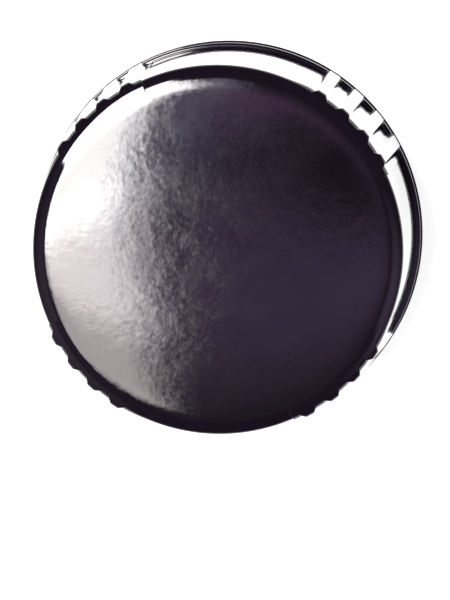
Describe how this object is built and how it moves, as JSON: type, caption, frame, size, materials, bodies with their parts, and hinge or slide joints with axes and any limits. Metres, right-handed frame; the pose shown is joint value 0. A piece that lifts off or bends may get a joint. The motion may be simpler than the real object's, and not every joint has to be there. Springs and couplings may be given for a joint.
{
  "type": "bottle cap",
  "caption": "Round screw cap with a low domed top, a skirt with groups of upright grip ribs and a beaded rim, hollow below to close a threaded bottle neck.",
  "frame": {"origin": "middle of the open rim's lower face", "axes": "+Z along the cap's axis from the open rim to the domed top; +X and +Y pass through the plain skirt midway between two grip pads"},
  "size_m": [0.0318, 0.0318, 0.0141],
  "materials": {
    "cap_plastic": "gloss sides, finely textured top"
  },
  "bodies": {
    "root": {"cap": "cap_plastic"}
  },
  "joints": []
}
